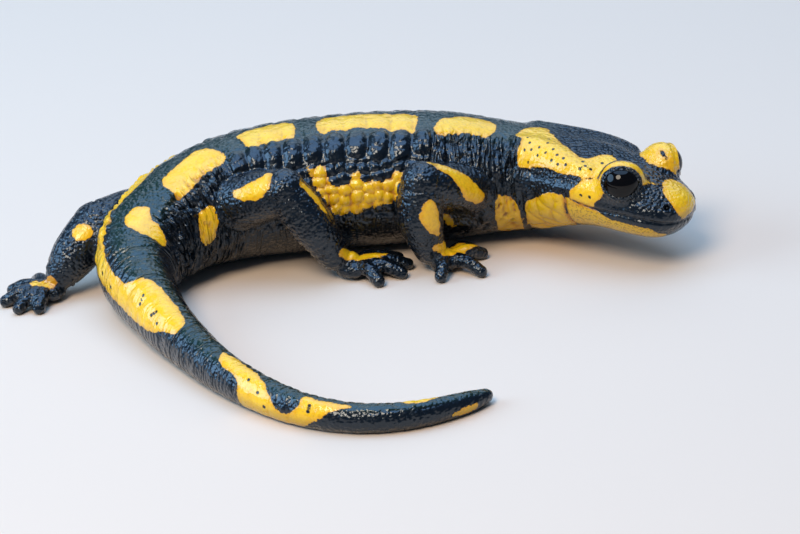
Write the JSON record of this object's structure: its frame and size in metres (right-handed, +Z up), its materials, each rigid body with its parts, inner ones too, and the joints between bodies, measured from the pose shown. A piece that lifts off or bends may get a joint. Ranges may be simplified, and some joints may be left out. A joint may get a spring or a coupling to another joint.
{
  "type": "fire salamander",
  "caption": "Life-size model of a black and yellow fire salamander resting on its belly, head lifted a little and tail curled round to the front.",
  "frame": {"origin": "middle of the bounding box on the floor plane", "axes": "+X towards the head end, +Y towards the animal's left, +Z up from the floor"},
  "size_m": [0.1118, 0.0928, 0.0212],
  "materials": {
    "skin": "wet gloss, black with yellow markings, painted on one continuous skin",
    "eye": "polished, nearly black iris under a clear wet cornea"
  },
  "bodies": {
    "root": {"head": "skin", "eye_right": "eye", "eye_left": "eye", "neck": "skin", "torso_shoulders": "skin", "torso_belly": "skin", "torso_hips": "skin", "tail_1": "skin", "tail_2": "skin", "tail_3": "skin", "tail_4": "skin", "tail_tip": "skin", "right_foreleg_upper": "skin", "right_foreleg_lower": "skin", "right_foreleg_foot": "skin", "left_foreleg_upper": "skin", "left_foreleg_lower": "skin", "left_foreleg_foot": "skin", "right_hind_leg_upper": "skin", "right_hind_leg_lower": "skin", "right_hind_leg_foot": "skin", "left_hind_leg_upper": "skin", "left_hind_leg_lower": "skin", "left_hind_leg_foot": "skin"}
  },
  "joints": []
}
